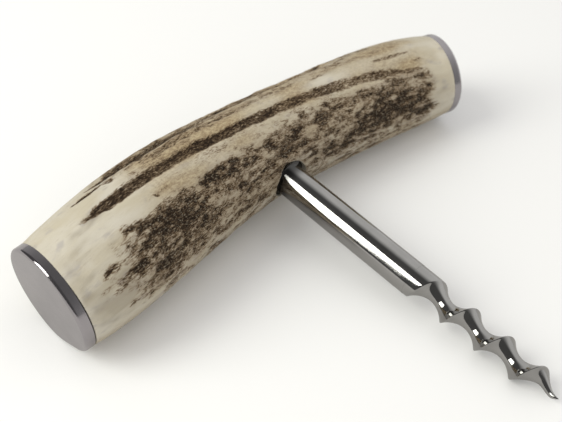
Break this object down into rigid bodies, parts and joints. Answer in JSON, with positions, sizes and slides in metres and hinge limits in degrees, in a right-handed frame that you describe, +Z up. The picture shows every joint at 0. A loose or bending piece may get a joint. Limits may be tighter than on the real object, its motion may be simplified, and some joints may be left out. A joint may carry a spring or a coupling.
{
  "type": "t-handle corkscrew",
  "caption": "Direct-pull corkscrew: curved antler handle with metal end caps, and a round polished steel shank with a ground solid worm and pointed tip.",
  "frame": {"origin": "bottom centre of the bounding box, on the table that the tool lies on", "axes": "+X along the handle towards its thinner end, -Y the way the worm points (it also droops to the table), +Z up from the table the tool lies on"},
  "size_m": [0.1582, 0.1232, 0.0341],
  "materials": {
    "antler": "satin",
    "cap_steel": "polished",
    "peg_steel": "satin",
    "worm_steel": "polished",
    "dark_epoxy": "satin",
    "insert_brass": "satin"
  },
  "bodies": {
    "root": {"antler_handle": "antler", "left_end_cap": "cap_steel", "right_end_cap": "cap_steel", "left_cap_peg": "peg_steel", "right_cap_peg": "peg_steel", "left_cap_glue": "dark_epoxy", "right_cap_glue": "dark_epoxy", "corkscrew_worm": "worm_steel", "threaded_insert": "insert_brass", "insert_glue": "dark_epoxy"}
  },
  "joints": []
}
